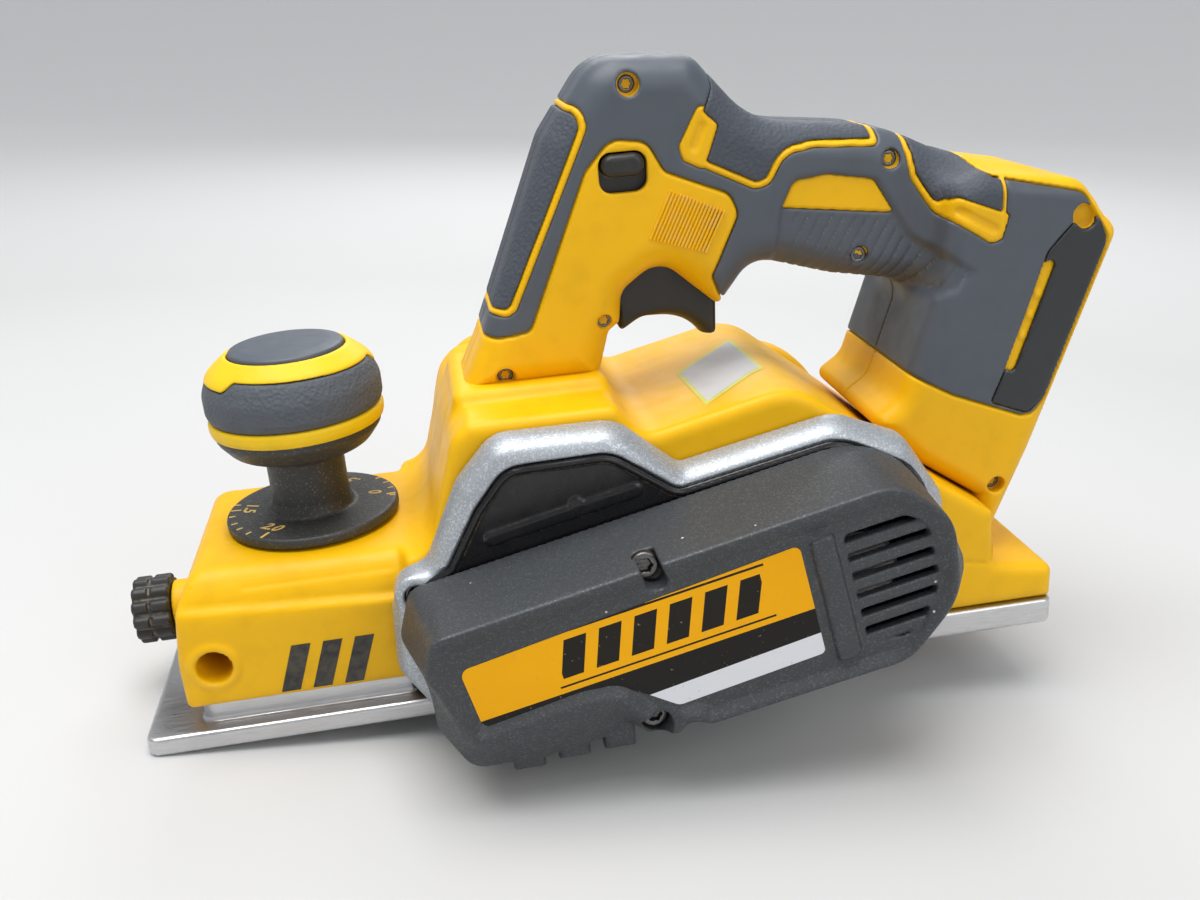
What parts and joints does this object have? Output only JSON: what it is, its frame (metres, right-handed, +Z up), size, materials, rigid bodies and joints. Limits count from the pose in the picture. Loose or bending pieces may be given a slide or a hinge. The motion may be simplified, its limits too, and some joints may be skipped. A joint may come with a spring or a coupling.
{
  "type": "electric hand planer",
  "caption": "Bare cordless hand planer with a D-handle, round depth knob, side belt cover, chip port, stepped shoes and a folding stand under the tail.",
  "frame": {"origin": "on the rear shoe's sole, straight below the motor's axis, midway across the shoe", "axes": "+X from the nose to the tail, +Y to the chip port's side, +Z up from the sole"},
  "size_m": [0.3003, 0.138, 0.2001],
  "materials": {
    "yellow_plastic": "satin moulded glass-filled nylon",
    "grey_rubber": "stippled overmoulded rubber",
    "black_plastic": "textured black nylon",
    "gloss_black": "polished black plastic",
    "dial_plastic": "fine textured dark plastic",
    "trigger_plastic": "worn black plastic",
    "label_film": "printed film",
    "silver_paint": "metallic silver paint on cast magnesium",
    "shoe_aluminium": "machined casting",
    "drum_aluminium": "turned",
    "screw_steel": "black zinc",
    "bearing_steel": "ground",
    "blade_steel": "ground carbide",
    "spring_steel": "drawn wire",
    "core_steel": "laminated",
    "copper": "enamelled copper wire",
    "belt_rubber": "ribbed belt",
    "circuit_board": "potted board"
  },
  "bodies": {
    "housing": {"main_housing": "yellow_plastic", "belt_housing": "silver_paint", "belt_back_plate": "gloss_black", "belt_cover": "black_plastic", "cover_label": "label_film", "motor_end_cap": "yellow_plastic", "chip_port": "yellow_plastic", "rear_shoe": "shoe_aluminium", "rear_shoe_screws": "screw_steel", "belt_housing_screws": "screw_steel", "cover_screws": "screw_steel", "handle_left": "yellow_plastic", "handle_right": "yellow_plastic", "overmould_left": "grey_rubber", "overmould_right": "grey_rubber", "handle_screws": "screw_steel", "drum_bearing_left": "bearing_steel", "drum_bearing_right": "bearing_steel", "motor_bearing_left": "bearing_steel", "motor_bearing_right": "bearing_steel", "motor_stator": "core_steel", "motor_windings": "copper", "drive_belt": "belt_rubber", "depth_spring": "spring_steel", "trigger_pin": "bearing_steel", "trigger_spring": "spring_steel", "lock_off_spring": "spring_steel", "switch_module": "black_plastic", "control_module": "circuit_board", "battery_terminals": "black_plastic", "kickstand_pin": "bearing_steel", "kickstand_spring": "spring_steel"},
    "cutter": {"cutter_drum": "drum_aluminium", "cutter_blades": "blade_steel", "blade_clamps": "bearing_steel", "blade_clamp_screws": "screw_steel", "drum_pulley": "drum_aluminium", "drum_pulley_nut": "screw_steel"},
    "rotor": {"motor_rotor": "core_steel", "motor_pulley": "drum_aluminium", "cooling_fan": "black_plastic"},
    "depth_knob": {"depth_dial": "dial_plastic", "knob_grip": "grey_rubber", "knob_ring": "yellow_plastic", "knob_cap": "grey_rubber", "depth_screw": "bearing_steel"},
    "front_shoe": {"front_shoe": "shoe_aluminium"},
    "guide_clamp": {"guide_clamp_knob": "black_plastic", "guide_clamp_screw": "bearing_steel"},
    "trigger": {"trigger": "trigger_plastic"},
    "lock_off_button": {"lock_off_button": "trigger_plastic"},
    "kickstand": {"kickstand": "black_plastic"}
  },
  "joints": [
    {"name": "cutter_spin", "type": "hinge", "parent": "housing", "child": "cutter", "pos_m": [-0.097, 0, 0.0235], "axis": [0, 1, 0], "continuous": true},
    {"name": "rotor_spin", "type": "hinge", "parent": "housing", "child": "rotor", "pos_m": [0, 0, 0.0455], "axis": [0, 1, 0], "continuous": true},
    {"name": "depth_turn", "type": "hinge", "parent": "housing", "child": "depth_knob", "pos_m": [-0.147, 0, 0.055], "axis": [0, 0, 1], "range_deg": [0, 320]},
    {"name": "front_shoe_lift", "type": "slide", "parent": "housing", "child": "front_shoe", "axis": [0, 0, 1], "range_m": [0, 0.002], "deforming": ["depth_spring"]},
    {"name": "guide_clamp_turn", "type": "hinge", "parent": "housing", "child": "guide_clamp", "pos_m": [-0.2, 0, 0.027], "axis": [1, 0, 0], "range_deg": [-720, 0]},
    {"name": "trigger_pull", "type": "hinge", "parent": "housing", "child": "trigger", "pos_m": [-0.053, 0, 0.114], "axis": [0, -1, 0], "range_deg": [0, 9], "stiffness_Nm_per_rad": 0.8, "springref_deg": -8.59},
    {"name": "lock_off_push", "type": "slide", "parent": "housing", "child": "lock_off_button", "axis": [0, 0, -1], "range_m": [0, 0.004], "stiffness_N_per_m": 400, "springref_m": -0.002, "deforming": ["lock_off_spring"]},
    {"name": "kickstand_fold", "type": "hinge", "parent": "housing", "child": "kickstand", "pos_m": [0.043, 0, 0.012], "axis": [0, -1, 0], "range_deg": [0, 85], "stiffness_Nm_per_rad": 0.02, "springref_deg": -22.92}
  ],
  "couplings": [
    {"joint": "rotor_spin", "follows": "cutter_spin", "ratio": 1.4592},
    {"joint": "front_shoe_lift", "follows": "depth_turn", "m_per_rad": 0.00035774}
  ]
}
